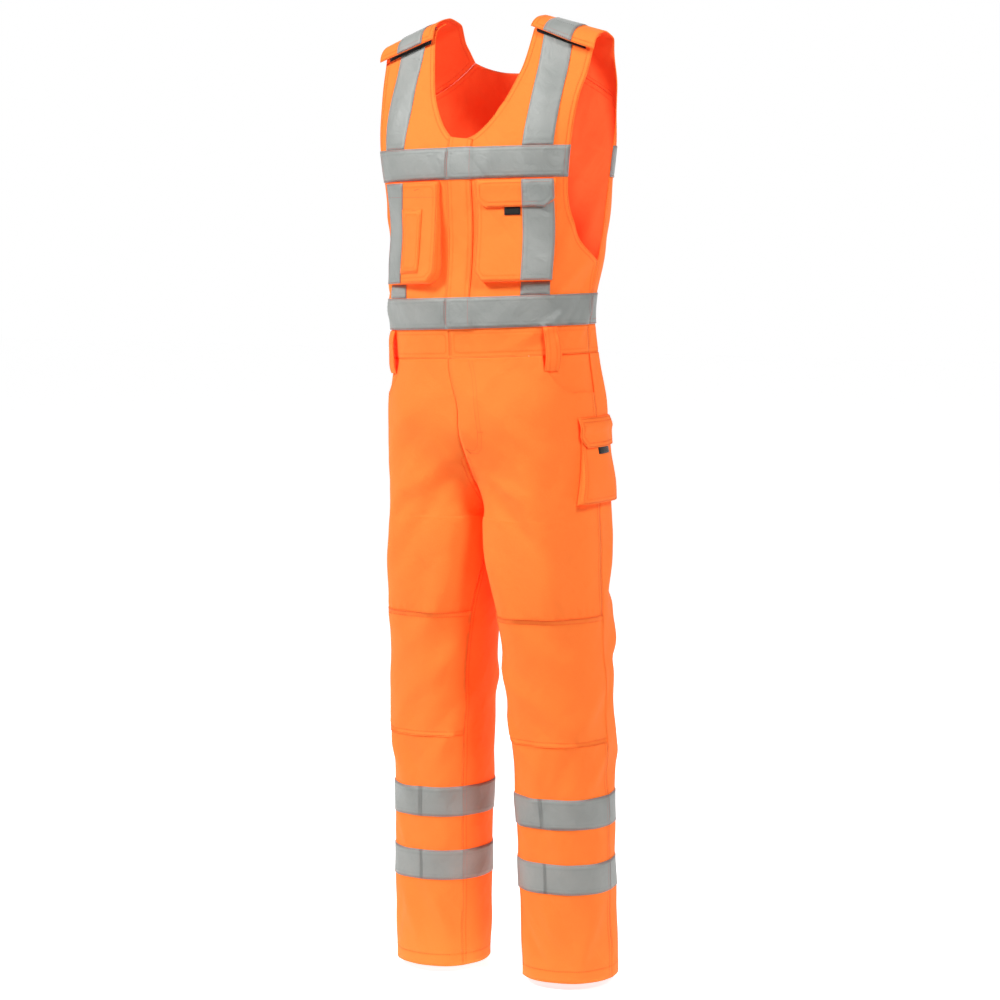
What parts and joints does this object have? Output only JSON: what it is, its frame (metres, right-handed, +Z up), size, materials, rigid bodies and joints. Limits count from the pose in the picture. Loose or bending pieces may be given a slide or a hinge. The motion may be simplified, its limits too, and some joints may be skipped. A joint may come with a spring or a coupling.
{
  "type": "bib overalls",
  "caption": "High-visibility bib overalls filled out as if worn, with an open neck and armholes, chest pockets, a cargo pocket, knee pockets and reflective bands.",
  "frame": {"origin": "midway between the two shoulder straps, at the top of the shoulders", "axes": "+Z up along the wearer's height, the garment's front faces -Y, the wearer's left is +X"},
  "size_m": [0.3998, 0.2847, 1.5638],
  "materials": {
    "cloth": "matte fluorescent orange twill",
    "tape": "silver-grey retroreflective, satin",
    "hook_and_loop": "matte black pile",
    "tab": "matte black woven"
  },
  "bodies": {
    "root": {"bib_front_left": "cloth", "bib_front_right": "cloth", "bib_back": "cloth", "placket": "cloth", "back_strap_left": "cloth", "back_strap_right": "cloth", "waistband_front_left": "cloth", "waistband_front_right": "cloth", "waistband_back": "cloth", "belt_loop_front_left": "cloth", "belt_loop_front_right": "cloth", "belt_loop_back_left": "cloth", "belt_loop_back_right": "cloth", "trouser_front_left": "cloth", "trouser_front_right": "cloth", "trouser_back_left": "cloth", "trouser_back_right": "cloth", "pocket_facing_left": "cloth", "pocket_facing_right": "cloth", "knee_pocket_left": "cloth", "knee_pocket_right": "cloth", "chest_pocket_left": "cloth", "chest_pocket_right": "cloth", "chest_pocket_flap": "cloth", "pen_patch": "cloth", "cargo_pocket": "cloth", "cargo_flap": "cloth", "chest_tape_left": "tape", "chest_tape_right": "tape", "chest_tape_back": "tape", "waist_tape_left": "tape", "waist_tape_right": "tape", "waist_tape_back": "tape", "brace_front_upper_left": "tape", "brace_front_upper_right": "tape", "brace_front_lower_left": "tape", "brace_front_lower_right": "tape", "brace_back_upper_left": "tape", "brace_back_upper_right": "tape", "brace_back_lower_left": "tape", "brace_back_lower_right": "tape", "brace_strap_left": "tape", "brace_strap_right": "tape", "chest_pocket_tape_left": "tape", "chest_pocket_tape_right": "tape", "chest_flap_tape": "tape", "leg_tape_upper_left": "tape", "leg_tape_upper_right": "tape", "leg_tape_lower_left": "tape", "leg_tape_lower_right": "tape", "hook_strip_left": "hook_and_loop", "hook_strip_right": "hook_and_loop", "loop_strip_left": "hook_and_loop", "loop_strip_right": "hook_and_loop", "chest_tab": "tab", "cargo_tab": "tab"}
  },
  "joints": []
}
